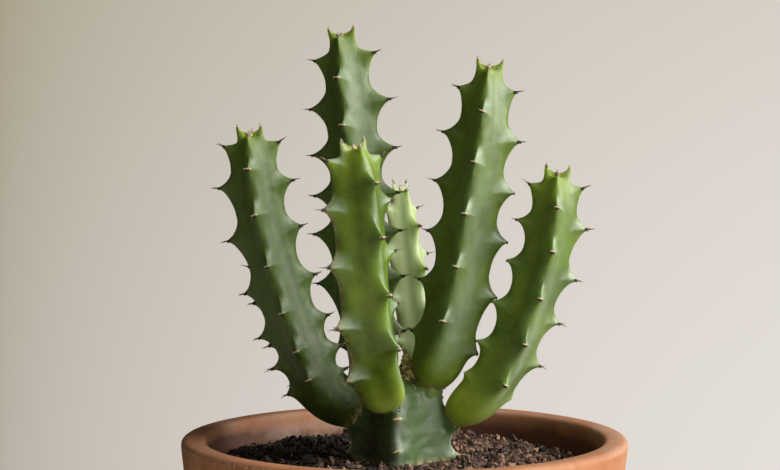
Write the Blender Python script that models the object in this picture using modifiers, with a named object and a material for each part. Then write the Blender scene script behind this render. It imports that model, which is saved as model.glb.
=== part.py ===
"""A potted african milk tree: a short four-ribbed trunk with seven toothed, spiny stems in a plain terracotta pot.

Metres, +Z up, with the origin on the ground under the middle of the pot. The stems lean left and right along X, and
-Y is the side that faces the viewer. Routes and levels are written in millimetres, from the middle of the pot's rim.
"""

import math
from collections import namedtuple

import bmesh
import bpy
from mathutils import Matrix, Vector

MM = 0.001
GAP = 0.3 * MM

# Pot
POT_HEIGHT = 112 * MM
RIM_RADIUS = 70 * MM
FOOT_RADIUS = 57 * MM
WALL = 6.6 * MM
FLOOR = 8 * MM
LIP_RISE = 2.6 * MM
FOOT_EDGE = 1.2 * MM
DRAIN_RADIUS = 7 * MM
POT_STEPS = 48

# Soil
SOIL_DEPTH_BELOW_RIM = 7.8 * MM
SOIL_LUMP = 0.66 * MM
SOIL_MOUND = 1.2 * MM
SOIL_MOUND_RADIUS = 32 * MM
SOIL_DIP = 2.6 * MM
SOIL_DIP_START = 30 * MM
SOIL_STEPS = 40
SOIL_RINGS = (0.34, 0.46, 0.58, 0.7, 0.81, 0.91, 1.0)

# Trunk, in millimetres from its axis and from the level of the rim
TRUNK_X = -1
TRUNK_TURN = -4
TRUNK_BURIED = -24
TRUNK_TEETH_SIDE = (16, 3.2, -4.6)
TRUNK_TEETH_FRONT = (8.5, -1.3)
TRUNK_TEETH_START = -6
TRUNK_CREST = ((TRUNK_BURIED, 15.7), (-6, 15.7), (3, 15.4), (9, 13.9), (15.5, 11.8), (17.2, 9), (18.6, 5.2))
TRUNK_TOP = 19.2
TRUNK_TOOTH = 2.0
TRUNK_FACE_SHARE = 0.72
TRUNK_CLEARANCE = 0.4
TRUNK_SPINE = 2.4
TIP_SCAR_HEIGHT = 5.5
TIP_SCAR_RADIUS = 1.9
CALLUS_ROOT = 7.5
CALLUS_FLARE = 1.15

# Stems
RIBS = 4
CREST_ANGLES = (0, 16, 45, 74)
TOOTH_HALF_ANGLE = 42
FOOT_LENGTH = 10
SPINE_LENGTH = 4.2
SPINE_RADIUS = 0.45
SPINE_SINK = 1.3
SPINE_SPREAD = 38
SPINE_CLEARANCE = 1.6
YOUNG_TOOTH = 0.35

# route: points that the stem's middle passes, from its neck on the trunk to its tip
# levels: distance of each pair of side teeth below the tip; the front and back teeth stand halfway between them
# reach: from the middle to the point of a full tooth; crown: how slowly the stem widens below its tip
# facing, twist: where the front rib looks at the tip, in degrees to the right, and how it turns with each millimetre
Stem = namedtuple("Stem", "route levels reach crown facing twist neck")

STEMS = {
    "stem_tall_back": Stem(
        route=((-6, 8, 18), (-9.5, 11.5, 27), (-12, 11, 38), (-14.2, 10.5, 56), (-15.4, 14, 84), (-19.7, 20, 126)),
        levels=(0, 7.5, 22.5, 37.5, 51, 63, 78, 97),
        reach=13.4, crown=8, facing=-15, twist=0.1, neck=4,
    ),
    "stem_front": Stem(
        route=((-6, -12.5, 14.5), (-7.7, -20, 20), (-9.6, -29, 29.5), (-12.5, -36.5, 53.5), (-14, -39.5, 75.5),
               (-15.4, -39.5, 93.8)),
        levels=(0, 4, 17.5, 34, 52, 66.5),
        reach=12.2, crown=4, facing=28, twist=0.25, neck=3.4,
    ),
    "stem_left": Stem(
        route=((-17.5, -1, 10.5), (-24.5, -2, 15.5), (-31, -4, 28), (-38.8, -6, 50), (-45, -8, 75.5), (-47.4, -9, 96.2)),
        levels=(0, 4, 16, 31.5, 48, 62, 72.5, 81),
        reach=11.4, crown=4, facing=-7, twist=0, neck=3.4,
    ),
    "stem_right_tall": Stem(
        route=((9, -1, 19.5), (13.2, -3, 33), (17.3, -4.5, 51.3), (20.5, -5, 73), (24.4, -4, 99.2), (26.2, -2, 116.4)),
        levels=(0, 7.5, 22, 37.5, 53, 69.5, 87),
        reach=12.3, crown=8.3, facing=-5, twist=-0.1, neck=3.4,
    ),
    "stem_right": Stem(
        route=((15.8, -2, 10), (22.3, -4, 14.5), (28.6, -6, 21.5), (38.2, -9, 42.6), (44.8, -9.5, 64.5), (46.9, -9, 83.9)),
        levels=(0, 4.5, 16, 30.5, 44.5, 58.5, 71),
        reach=10.9, crown=4.3, facing=-2, twist=0.3, neck=3.4,
    ),
    "stem_back_right": Stem(
        route=((4.5, 12.5, 14), (5.6, 19, 19), (3.8, 26, 30), (1.2, 34, 50), (-0.6, 39, 66), (-1.2, 40, 76)),
        levels=(0, 7, 21, 37, 52),
        reach=9.2, crown=7, facing=42, twist=0, neck=2.8,
    ),
    "stem_back_left": Stem(
        route=((-11, 9.5, 9), (-19, 13.5, 12.5), (-28.5, 16.5, 20), (-37, 19, 34), (-44.5, 22, 58)),
        levels=(0, 5, 16, 29, 41),
        reach=8.4, crown=5, facing=-8, twist=0, neck=2.6,
    ),
}

RIM_CENTRE = Vector((0, 0, POT_HEIGHT))

TERRACOTTA = ("terracotta", (0.53, 0.24, 0.12, 1), 0.85)
SOIL = ("soil", (0.055, 0.036, 0.024, 1), 1.0)
BARK_GREEN = ("trunk_green", (0.13, 0.24, 0.12, 1), 0.6)
STEM_GREEN = ("stem_green", (0.10, 0.24, 0.04, 1), 0.45)
SPINE_BROWN = ("spine_brown", (0.11, 0.06, 0.035, 1), 0.6)


def clear_scene():
    for obj in list(bpy.data.objects):
        bpy.data.objects.remove(obj)


def material(finish):
    name, colour, roughness = finish
    made = bpy.data.materials.get(name)
    if made is None:
        made = bpy.data.materials.new(name)
        made.use_nodes = True
        shader = made.node_tree.nodes["Principled BSDF"]
        shader.inputs["Base Color"].default_value = colour
        shader.inputs["Roughness"].default_value = roughness
        shader.inputs["Metallic"].default_value = 0
    return made


def new_collection(name):
    collection = bpy.data.collections.new(name)
    bpy.context.scene.collection.children.link(collection)
    return collection


def new_object(name, bm, collection, *finishes):
    """An object from a bmesh, with its faces turned outwards."""
    bmesh.ops.recalc_face_normals(bm, faces=bm.faces)
    mesh = bpy.data.meshes.new(name)
    bm.to_mesh(mesh)
    bm.free()
    for finish in finishes:
        mesh.materials.append(material(finish))
    mesh.shade_smooth()
    mesh.set_sharp_from_angle(angle=math.radians(40))
    obj = bpy.data.objects.new(name, mesh)
    collection.objects.link(obj)
    return obj


def make_cutter(obj):
    obj.hide_render = True
    obj.display_type = "WIRE"
    return obj


def boolean(body, operation, helpers):
    """Joins or cuts a piece with every object of a collection, applies it and removes them."""
    modifier = body.modifiers.new(operation.lower(), "BOOLEAN")
    modifier.operation = operation
    modifier.operand_type = "COLLECTION"
    modifier.collection = helpers
    modifier.solver = "EXACT"
    bpy.context.view_layer.update()
    graph = bpy.context.evaluated_depsgraph_get()
    result = bpy.data.meshes.new_from_object(body.evaluated_get(graph))
    body.modifiers.remove(modifier)
    before = body.data
    body.data = result
    bpy.data.meshes.remove(before)
    for helper in list(helpers.objects):
        bpy.data.objects.remove(helper)
    bpy.data.collections.remove(helpers)


def interpolate(pairs, at):
    """The value at a place along a list of (place, value) pairs that runs upwards."""
    for (a, start), (b, end) in zip(pairs, pairs[1:]):
        if at <= b:
            share = max((at - a) / (b - a), 0)
            return start + (end - start) * share
    return pairs[-1][1]


def loft(rings, tip=None):
    """A closed skin over rings of equal count, with a flat face at the first and a point or a flat face at the last."""
    bm = bmesh.new()
    rows = [[bm.verts.new(point) for point in ring] for ring in rings]
    count = len(rows[0])
    for low, high in zip(rows, rows[1:]):
        for i in range(count):
            j = (i + 1) % count
            bm.faces.new((low[i], low[j], high[j], high[i]))
    bm.faces.new(rows[0][::-1])
    if tip is None:
        bm.faces.new(rows[-1])
    else:
        peak = bm.verts.new(tip)
        for i in range(count):
            bm.faces.new((rows[-1][i], rows[-1][(i + 1) % count], peak))
    return bm


# Ribs, teeth and spines

def tooth_rise(levels, at):
    """How far a rib's crest has risen to a tooth, from 0 to 1. Below a tooth it falls in a long hollow, and above one
    it climbs in a short slope."""
    above = [level for level in levels if level <= at]
    below = [level for level in levels if level > at]
    if not above:
        return max(1 - (below[0] - at) / 4, 0)
    start = above[-1]
    end = below[0] if below else start + 14
    share = (at - start) / (end - start)
    if share < 0.6:
        return max(1 - share / 0.58, 0) ** 1.8
    if not below:
        return 0
    return max((share - 0.62) / 0.38, 0) ** 1.15


def section(valley, face, rises, reach):
    """Radii round one ring, for each angle of CREST_ANGLES from each rib to the next."""
    radii = []
    for rib in range(RIBS):
        for angle in CREST_ANGLES:
            off, owner = (angle, rib) if angle <= 45 else (90 - angle, (rib + 1) % RIBS)
            body = face + (valley - face) * (1 - off / 45) ** 1.3
            tooth = (reach - valley) * rises[owner] * max(1 - off / TOOTH_HALF_ANGLE, 0) ** 1.5
            radii.append((rib * 90 + angle, body + tooth, rises[owner] * max(1 - off / TOOTH_HALF_ANGLE, 0) ** 1.5))
    return radii


def spine_mesh(length):
    """A three-sided needle that points along +Z, with its root SPINE_SINK below the origin."""
    name = f"spine_{length:.1f}"
    mesh = bpy.data.meshes.get(name)
    if mesh is None:
        bm = bmesh.new()
        whole = (length + SPINE_SINK) * MM
        bmesh.ops.create_cone(
            bm, cap_ends=True, segments=3, radius1=SPINE_RADIUS * MM, radius2=0, depth=whole,
            matrix=Matrix.Translation((0, 0, whole / 2 - SPINE_SINK * MM)),
        )
        bmesh.ops.remove_doubles(bm, verts=bm.verts, dist=0.00001)
        bmesh.ops.recalc_face_normals(bm, faces=bm.faces)
        mesh = bpy.data.meshes.new(name)
        bm.to_mesh(mesh)
        bm.free()
        mesh.materials.append(material(STEM_GREEN))
        mesh.materials.append(material(SPINE_BROWN))
        for face in mesh.polygons:
            face.material_index = 1
    return mesh


def add_spine_pair(helpers, point, outward, along, rise, length, others=()):
    """Two spines from one tooth, spread to both sides and raised towards the stem's tip. One that would meet a
    neighbouring stem is short or missing."""
    sideways = along.cross(outward)
    for side in (-1, 1):
        spread = math.radians(SPINE_SPREAD) * side
        flat = outward * math.cos(spread) + sideways * math.sin(spread)
        direction = flat * math.cos(rise) + along * math.sin(rise)
        lengths = [share for share in (length, length * 0.6) if is_clear(point + direction * share * MM, others)]
        if not lengths:
            continue
        spine = bpy.data.objects.new("spine", spine_mesh(lengths[0]))
        turn = Vector((0, 0, 1)).rotation_difference(direction).to_matrix().to_4x4()
        spine.matrix_world = Matrix.Translation(point) @ turn
        helpers.objects.link(spine)


# Stems

class Route:
    """A smooth line through a stem's route points, measured in millimetres down from its tip."""

    STEPS = 24

    def __init__(self, points):
        points = [Vector(point) for point in points]
        ends = [points[0] * 2 - points[1], *points, points[-1] * 2 - points[-2]]
        self.line = []
        for before, start, end, after in zip(ends, ends[1:], ends[2:], ends[3:]):
            leave = self.slope(before, start, end) * (end - start).length
            arrive = self.slope(start, end, after) * (end - start).length
            for i in range(self.STEPS):
                t = i / self.STEPS
                blend = t * t * (3 - 2 * t)
                point = start * (1 - blend) + end * blend
                point += leave * (t ** 3 - 2 * t * t + t) + arrive * (t ** 3 - t * t)
                self.line.append(point)
        self.line.append(points[-1])
        self.places = [0.0]
        for a, b in zip(self.line, self.line[1:]):
            self.places.append(self.places[-1] + (b - a).length)
        self.length = self.places[-1]

    @staticmethod
    def slope(before, point, after):
        """The direction at a point, weighted towards its nearer neighbour."""
        a, b = (point - before).length, (after - point).length
        return ((point - before) / a * b + (after - point) / b * a) / (a + b)

    def point(self, below_tip):
        place = min(max(self.length - below_tip, 0), self.length)
        for i, end in enumerate(self.places[1:]):
            if place <= end:
                share = (place - self.places[i]) / (end - self.places[i])
                return self.line[i].lerp(self.line[i + 1], share)
        return self.line[-1]

    def axes(self, below_tip):
        """The direction towards the tip, and the two across it that look to the front and to the right."""
        along = (self.point(below_tip - 1.5) - self.point(below_tip + 1.5)).normalized()
        front = Vector((0, -1, 0))
        front = (front - along * front.dot(along)).normalized()
        return along, front, along.cross(front)


def stem_frame(route, stem, below_tip):
    point = route.point(below_tip)
    along, front, right = route.axes(below_tip)
    turn = math.radians(stem.facing + stem.twist * below_tip)
    return point, along, front * math.cos(turn) + right * math.sin(turn), right * math.cos(turn) - front * math.sin(turn)


def is_clear(point, others):
    """Whether a point keeps away from the given stems."""
    local = (point - RIM_CENTRE) / MM
    for other in others:
        route = Route(other.route)
        below_tip = 0
        while below_tip < route.length:
            reach, _, _ = stem_radii(other, route, below_tip)
            if (route.point(below_tip) - local).length < reach + SPINE_CLEARANCE:
                return False
            below_tip += 3
    return True


def tooth_levels(stem):
    """Distances below the tip of the side teeth and of the front and back teeth."""
    front = [(a + b) / 2 for a, b in zip(stem.levels, stem.levels[1:])]
    front[0] = stem.levels[1] * 0.35
    return list(stem.levels), front


def stem_radii(stem, route, below_tip):
    """Reach of a tooth, radius in the hollows between teeth and radius in the middle of a face."""
    above_foot = route.length - below_tip
    reach = stem.reach * (1 - math.exp(-(below_tip + 0.35 * stem.crown) / stem.crown))
    slim = 0.28 * max(1 - above_foot / 26, 0) ** 1.5
    reach *= 1 - slim
    valley = reach * (0.69 + 0.09 * min(below_tip / 80, 1))
    fade = min(max((above_foot - 5) / 14, 0), 1)
    reach = valley + (reach - valley) * fade * fade * (3 - 2 * fade)
    face = valley * 0.86
    if above_foot < FOOT_LENGTH:
        rounded = math.sqrt(1 - (1 - above_foot / FOOT_LENGTH) ** 2)
        reach, valley, face = (max(radius * rounded, stem.neck) for radius in (reach, valley, face))
    return reach, valley, face


def crown_lift(below_tip):
    """How far a young tooth stands up beside the growing tip."""
    return 3.5 * math.exp(-below_tip / 4)


def rib_rises(side, front, below_tip):
    side_rise = tooth_rise(side, below_tip)
    front_rise = tooth_rise(front, below_tip)
    if below_tip <= (front[0] + front[1]) / 2:
        front_rise *= YOUNG_TOOTH
    return front_rise, side_rise, front_rise, side_rise


def stem_levels(stem, route):
    """Where a stem has its rings: at each pair of teeth, once between two pairs, and round its foot."""
    side, front = tooth_levels(stem)
    nodes = sorted(side + front)
    levels = []
    for upper, lower in zip(nodes, nodes[1:]):
        levels += [upper, upper + (lower - upper) * 0.6]
    levels.append(nodes[-1])
    foot = [route.length - height for height in (FOOT_LENGTH, 6, 3, 1, 0)]
    levels = [level for level in levels if level < foot[0] - 2]
    while foot[0] - levels[-1] > 6:
        levels.append(levels[-1] + 4.5)
    return levels + foot


def make_stem(name, stem, collection):
    route = Route(stem.route)
    side, front = tooth_levels(stem)
    rings = []
    for level in stem_levels(stem, route):
        point, along, ahead, right = stem_frame(route, stem, level)
        reach, valley, face = stem_radii(stem, route, level)
        ring = []
        for angle, radius, rise in section(valley, face, rib_rises(side, front, level), reach):
            turn = math.radians(angle)
            out = ahead * math.cos(turn) + right * math.sin(turn)
            ring.append(RIM_CENTRE + (point + out * radius + along * crown_lift(level) * rise) * MM)
        rings.append(ring)
    rings.reverse()
    tip = RIM_CENTRE + (route.point(0) + route.axes(0)[0] * 0.7) * MM
    body = new_object(name, loft(rings, tip), collection, STEM_GREEN, SPINE_BROWN)
    boolean(body, "UNION", stem_spines(name, stem, route))
    return body


def stem_spines(name, stem, route):
    helpers = new_collection(name + "_spines")
    others = [other for other in STEMS.values() if other is not stem]
    side, front = tooth_levels(stem)
    for levels, ribs in ((front, (0, 2)), (side, (1, 3))):
        for level in levels:
            if route.length - level < FOOT_LENGTH + 3:
                continue
            point, along, ahead, right = stem_frame(route, stem, level)
            reach, valley, _ = stem_radii(stem, route, level)
            young = level == front[0]
            if young:
                reach = valley + (reach - valley) * YOUNG_TOOTH
            lift = crown_lift(level) * (YOUNG_TOOTH if young else 1)
            rise = math.radians(7 + 62 * math.exp(-level / 5))
            length = SPINE_LENGTH * (0.5 if level < 3 else 1)
            for rib in ribs:
                turn = math.radians(90 * rib)
                out = ahead * math.cos(turn) + right * math.sin(turn)
                tooth = RIM_CENTRE + (point + out * reach + along * lift) * MM
                add_spine_pair(helpers, tooth, out, along, rise, length, others)
    return helpers


# Trunk

def trunk_ring(height):
    """Points round the trunk at a height in millimetres from the rim."""
    front, side = (
        tooth_rise([-level for level in levels], -height) if height > TRUNK_TEETH_START else 0
        for levels in (TRUNK_TEETH_FRONT, TRUNK_TEETH_SIDE)
    )
    return trunk_section(height, interpolate(TRUNK_CREST, height), (front, side, front, side))


def trunk_section(height, crest, rises=(0, 0, 0, 0), spread=0.0):
    """A four-angled ring about the trunk's axis, pushed out by a spread."""
    ring = []
    for angle, radius, _ in section(crest, crest * TRUNK_FACE_SHARE, rises, crest + TRUNK_TOOTH):
        turn = math.radians(angle + TRUNK_TURN)
        out = Vector((math.sin(turn), -math.cos(turn), 0))
        ring.append(RIM_CENTRE + (Vector((TRUNK_X, 0, height)) + out * (radius + spread)) * MM)
    return ring


def make_trunk(collection):
    """The short trunk, with a callus under each stem and the dry scar of its own first tip."""
    heights = [TRUNK_BURIED, TRUNK_TEETH_START]
    nodes = sorted(TRUNK_TEETH_SIDE + TRUNK_TEETH_FRONT)
    for lower, upper in zip(nodes, nodes[1:]):
        heights += [lower, lower + (upper - lower) * 0.4]
    heights += [nodes[-1], TRUNK_CREST[-2][0], TRUNK_CREST[-1][0]]
    rings = [trunk_ring(height) for height in heights]
    tip = RIM_CENTRE + Vector((TRUNK_X, 0, TRUNK_TOP)) * MM
    body = new_object("trunk", loft(rings, tip), collection, BARK_GREEN, SPINE_BROWN)
    helpers = new_collection("trunk_growths")
    for stem in STEMS.values():
        add_callus(helpers, stem)
    add_tip_scar(helpers)
    add_trunk_spines(helpers)
    boolean(body, "UNION", helpers)
    return body


def add_callus(helpers, stem):
    """The short stub that carries a stem. Its flat end is a gap below the stem's neck."""
    route = Route(stem.route)
    along = route.axes(route.length)[0]
    neck = route.point(route.length)
    length = CALLUS_ROOT * MM - GAP
    bm = bmesh.new()
    bmesh.ops.create_cone(
        bm, cap_ends=True, segments=12, radius1=stem.neck * CALLUS_FLARE * MM, radius2=stem.neck * MM, depth=length,
        matrix=Matrix.Translation((0, 0, -GAP - length / 2)),
    )
    callus = new_object("callus", bm, helpers, BARK_GREEN)
    turn = Vector((0, 0, 1)).rotation_difference(along).to_matrix().to_4x4()
    callus.matrix_world = Matrix.Translation(RIM_CENTRE + neck * MM) @ turn


def add_tip_scar(helpers):
    bm = bmesh.new()
    bmesh.ops.create_cone(
        bm, cap_ends=True, segments=7, radius1=TIP_SCAR_RADIUS * 1.3 * MM, radius2=TIP_SCAR_RADIUS * 0.7 * MM,
        depth=TIP_SCAR_HEIGHT * 2 * MM,
    )
    scar = new_object("tip_scar", bm, helpers, BARK_GREEN, SPINE_BROWN)
    scar.location = RIM_CENTRE + Vector((TRUNK_X + 1.5, 0, TRUNK_TOP - 1)) * MM


def add_trunk_spines(helpers):
    for levels, ribs in ((TRUNK_TEETH_FRONT, (0, 2)), (TRUNK_TEETH_SIDE[:2], (1, 3))):
        for level in levels:
            reach = interpolate(TRUNK_CREST, level) + TRUNK_TOOTH
            for rib in ribs:
                turn = math.radians(90 * rib + TRUNK_TURN)
                out = Vector((math.sin(turn), -math.cos(turn), 0))
                tooth = RIM_CENTRE + (Vector((TRUNK_X, 0, level)) + out * reach) * MM
                add_spine_pair(helpers, tooth, out, Vector((0, 0, 1)), math.radians(-8), TRUNK_SPINE)


# Pot and soil

def pot_outside(height):
    return FOOT_RADIUS + (RIM_RADIUS - FOOT_RADIUS) * height / POT_HEIGHT


def pot_inside(height):
    return pot_outside(height) - WALL


def pot_profile():
    """The turned outline: down the outside, across the foot to the drain hole and up the inside to the lip."""
    shoulder = POT_HEIGHT - LIP_RISE
    outer, inner = pot_outside(shoulder), pot_inside(shoulder)
    middle, half = (outer + inner) / 2, (outer - inner) / 2
    points = []
    for degrees in (135, 90, 55, 28, 0):
        turn = math.radians(degrees)
        points.append((middle + half * math.cos(turn), shoulder + LIP_RISE * math.sin(turn)))
    points += [
        (pot_outside(FOOT_EDGE), FOOT_EDGE),
        (pot_outside(0) - FOOT_EDGE, 0),
        (DRAIN_RADIUS, 0),
        (DRAIN_RADIUS, FLOOR),
        (pot_inside(FLOOR) - 3 * MM, FLOOR),
        (pot_inside(FLOOR + 3 * MM), FLOOR + 3 * MM),
        (inner, shoulder),
    ]
    return points


def make_pot(collection):
    points = pot_profile()
    bm = bmesh.new()
    verts = [bm.verts.new((radius, 0, height)) for radius, height in points]
    for a, b in zip(verts, verts[1:] + verts[:1]):
        bm.edges.new((a, b))
    mesh = bpy.data.meshes.new("pot")
    bm.to_mesh(mesh)
    bm.free()
    mesh.materials.append(material(TERRACOTTA))
    pot = bpy.data.objects.new("pot", mesh)
    collection.objects.link(pot)
    turned = pot.modifiers.new("turned", "SCREW")
    turned.axis = "Z"
    turned.steps = POT_STEPS
    turned.render_steps = POT_STEPS
    turned.use_merge_vertices = True
    turned.merge_threshold = 0.00001
    turned.use_smooth_shade = True
    return pot


def soil_height(x, y):
    """The top of the soil, in metres from its mean level: lumps, a rise round the trunk and a dip at the right wall."""
    near_trunk = (x * x + y * y) / SOIL_MOUND_RADIUS ** 2
    lumps = math.sin(x * 210 + 1.3) * math.cos(y * 190 - 0.7)
    lumps += 0.6 * math.sin(x * 430 - y * 370 + 2.1) + 0.45 * math.cos(x * 610 + y * 530)
    mound = SOIL_MOUND * math.exp(-near_trunk)
    dip = SOIL_DIP * max(x / SOIL_DIP_START - 1, 0)
    return lumps * SOIL_LUMP * min(near_trunk, 1) + mound - dip


def soil_ring(radius, height, lumpy=False):
    ring = []
    for i in range(SOIL_STEPS):
        turn = 2 * math.pi * i / SOIL_STEPS
        x, y = radius * math.cos(turn), radius * math.sin(turn)
        ring.append(Vector((x, y, height + (soil_height(x, y) if lumpy else 0))))
    return ring


def make_soil(collection):
    top = POT_HEIGHT - SOIL_DEPTH_BELOW_RIM
    bottom = FLOOR + GAP
    edge = pot_inside(top - 4 * MM) - GAP * 2
    foot = pot_inside(FLOOR + 3 * MM) - GAP * 4
    rings = [soil_ring(foot - 3 * MM, bottom), soil_ring(foot, bottom + 4 * MM)]
    rings += [soil_ring(edge * share, top, lumpy=True) for share in reversed(SOIL_RINGS)]
    tip = Vector((0, 0, top + soil_height(0, 0)))
    soil = new_object("soil", loft(rings, tip), collection, SOIL)
    cutters = new_collection("trunk_hole")
    crest = TRUNK_CREST[0][1]
    hole = [trunk_section(height, crest, spread=TRUNK_CLEARANCE) for height in (TRUNK_BURIED - TRUNK_CLEARANCE, 6)]
    make_cutter(new_object("trunk_hole_cutter", loft(hole), cutters))
    boolean(soil, "DIFFERENCE", cutters)
    return soil


def main():
    clear_scene()
    collection = new_collection("potted_african_milk_tree")
    make_pot(collection)
    make_soil(collection)
    make_trunk(collection)
    for name, stem in STEMS.items():
        make_stem(name, stem, collection)


main()
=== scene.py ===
"""The looks of a potted african milk tree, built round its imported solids.

Blender works in metres, +Z up. Lengths here are in millimetres until a mesh is made, and stem routes start
from the middle of the pot's rim, as the solids have them.
"""

from collections import namedtuple
from math import cos, exp, hypot, pi, radians, sin, sqrt

import bmesh
import bpy
import numpy as np
from mathutils import Matrix, Vector, kdtree, noise
from mathutils.bvhtree import BVHTree


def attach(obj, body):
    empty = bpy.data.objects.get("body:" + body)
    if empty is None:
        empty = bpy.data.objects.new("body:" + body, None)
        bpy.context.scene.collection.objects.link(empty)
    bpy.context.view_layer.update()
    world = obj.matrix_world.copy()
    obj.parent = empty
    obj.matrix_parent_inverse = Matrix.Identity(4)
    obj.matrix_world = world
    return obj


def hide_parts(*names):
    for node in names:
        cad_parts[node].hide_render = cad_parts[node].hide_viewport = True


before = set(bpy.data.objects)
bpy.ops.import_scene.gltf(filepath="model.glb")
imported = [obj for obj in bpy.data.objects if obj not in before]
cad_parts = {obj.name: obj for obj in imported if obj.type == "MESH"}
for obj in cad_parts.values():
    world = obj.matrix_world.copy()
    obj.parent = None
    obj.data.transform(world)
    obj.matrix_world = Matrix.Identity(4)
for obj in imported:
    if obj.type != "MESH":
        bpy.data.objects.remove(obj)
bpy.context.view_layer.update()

MM = 0.001
TURN = 2 * pi
UP = np.array((0.0, 0.0, 1.0))
POT_HEIGHT = 112.0
RIM = UP * POT_HEIGHT
# Places of these materials in a mesh, after its own
SPINE, CUSHION = 1, 2

# Camera, fitted to the rim's ellipse and the stems
CAMERA_PLACE = (-4.5 * MM, -888.9 * MM, 252.8 * MM)
CAMERA_TILT = 85.055
CAMERA_LENS = 132.6
CAMERA_SENSOR = 36

# Backdrop as the camera sees it, left and right. A ramp has its ends, as view directions, and its curve.
BACKDROP_LOW = (0.365, 0.317, 0.244), (0.788, 0.741, 0.703)
BACKDROP_HIGH = (0.291, 0.251, 0.138), (0.67, 0.63, 0.565)
BACKDROP_ACROSS = (-0.14, 0.14, 0.35)
BACKDROP_DOWN = (-0.17, 0.0, 1.4)
AMBIENT = (0.060, 0.056, 0.040)
FLOOR_RADIUS = 0.5
FLOOR_COLOUR = (0.50, 0.47, 0.42)
# Lamps: bearing from the camera's side and height in degrees, distance and size in metres, watts, colour
LIT_HEIGHT = 0.17
WINDOW = (74, 27, 1.3, (1.4, 1.1), 40, (1.0, 0.985, 0.965))
FILL = (4, 6, 1.6, (1.8, 1.2), 7.5, (1.0, 0.97, 0.85))


# Stems. Angles go round a stem in degrees from its front rib, and depths are measured down from its tip.
RIBS = 4
RIB_OFFSETS = (0, 0.9, 2, 3.4, 5.2, 7.6, 10.8, 15, 20.5, 27.5, 36)
RING_STEP = 0.7
CROWN_DEPTH = 8
TOOTH_STEPS = (-1.5, -1.0, -0.6, -0.3, 0, 0.3, 0.6, 1.0, 1.5, 2.1)
FOOT_LENGTH = 10
LOWEST_TOOTH = FOOT_LENGTH + 3
BUD_DEPTH = 3
FIRST_GAP, LAST_GAP = 6, 14
CROWN_DIP = 1.2
CROWN_SHARES = (0.12, 0.26, 0.4, 0.55, 0.7, 0.85)
RIDGE_HALF_ANGLE = 14
WEDGE_HALF_ANGLE = 15
WEDGE_SHARE = 0.78
TOOTH_SAG = 0.05
NIB = 0.75
SPROUT = 0.6
SPINE_LENGTH = 2.7
SPINE_SPREAD = 34
FRONT_SPREAD = 46
SPINE_CLEARANCE = 1.6

# route: up from the foot. levels: depths of the side ribs' teeth. reach: radius at their points. crown: depth
# over which the tip widens. facing, twist: turn of the front rib, and more of it by depth. neck: radius of the
# callus. waist: radius between teeth by reach. foot: length past the route. taper: loss of reach there. swell:
# half angle of a tooth's root. tone: 0 blue-green, 1 yellow-green, more is pale, partly for painted light.
# bloom, scar: waxy coat with painted highlights, and a corky scar, on the left rib. base: colour of the
# foot: yellower above 0, partly for painted light on it, and below 0 darkened with painted shade.
Stem = namedtuple("Stem", "node route levels reach crown facing twist neck waist foot taper swell "
                          "tone bloom scar base seed")

STEMS = (
    Stem("stem_tall_back",
         ((-6, 8, 18), (-9.5, 11.5, 27), (-12, 11, 38), (-14.2, 10.5, 56), (-15.4, 14, 84), (-19.7, 20, 126)),
         (0, 7.5, 22.5, 37.5, 51, 63, 78, 97),
         13.4, 8, -15, 0.1, 4, 0.575, 2, 0.28, 30, 0.15, 0.1, 0, 0.35, 11),
    Stem("stem_front",
         ((-6, -12.5, 14.5), (-7.7, -20, 20), (-9.6, -29, 29.5), (-12.5, -36.5, 53.5), (-14, -39.5, 75.5),
          (-15.4, -39.5, 93.8)),
         (0, 4, 17.5, 34, 52, 66.5),
         12.2, 4, 28, 0.25, 3.4, 0.66, 3.0, 0.16, 38, 0.9, 1, 0.6, 1.35, 12),
    # stem_left's base below 0 darkens its foot with painted shade
    Stem("stem_left",
         ((-18, -1, 8.8), (-24.8, -2, 14.6), (-31, -4, 28), (-38.8, -6, 50), (-45, -8, 75.5),
          (-47.4, -9, 96.2)),
         (0, 4, 16, 31.5, 48, 62, 72.5, 81),
         11.4, 4, -7, 0, 3.4, 0.65, 5.5, 0.12, 33, 0.05, 0.1, 0.35, -0.6, 13),
    Stem("stem_right_tall",
         ((7.8, -1.5, 18), (12.8, -3, 32.5), (17.3, -4.5, 51.3), (20.5, -5, 73), (24.4, -4, 99.2),
          (26.2, -2, 116.4)),
         (0, 7.5, 22, 37.5, 53, 69.5, 87),
         12.3, 8.3, -5, -0.1, 3.4, 0.65, 2.4, 0.1, 37, 0.6, 0.1, 0, 0.3, 14),
    Stem("stem_right",
         ((17.2, -2, 8.4), (22.8, -4, 13.6), (28.6, -6, 21.5), (38.2, -9, 42.6), (44.8, -9.5, 64.5),
          (46.9, -9, 83.9)),
         (0, 4.5, 16, 30.5, 44.5, 58.5, 71),
         10.9, 4.3, -2, 0.3, 3.4, 0.655, 4.6, 0.06, 36, 0.68, 0.1, 0, 1.3, 15),
    # stem_back_right's tone above 1 pales it, partly its own colour and partly painted light that it catches
    Stem("stem_back_right",
         ((4.5, 12.5, 14), (5.6, 19, 19), (3.8, 26, 30), (1.2, 34, 50), (-0.6, 39, 66), (-1.2, 40, 76)),
         (0, 7, 21, 37, 52),
         9.2, 7, 42, 0, 2.8, 0.66, 1.5, 0.28, 36, 1.8, 0.3, 0, 0.35, 16),
    Stem("stem_back_left",
         ((-11, 9.5, 9), (-19, 13.5, 12.5), (-28.5, 16.5, 20), (-37, 19, 34), (-44.5, 22, 58)),
         (0, 5, 16, 29, 41),
         8.4, 5, -8, 0, 2.6, 0.66, 1.5, 0.28, 34, 0.5, 0.1, 0, 0.35, 17),
)


# Numbers and meshes

def clamp(value):
    return np.clip(value, 0, 1)


def bell(value, middle, width):
    """A smooth hump that is 1 at the middle and fades over about two widths."""
    return np.exp(-(((value - middle) / width) ** 2))


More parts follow.
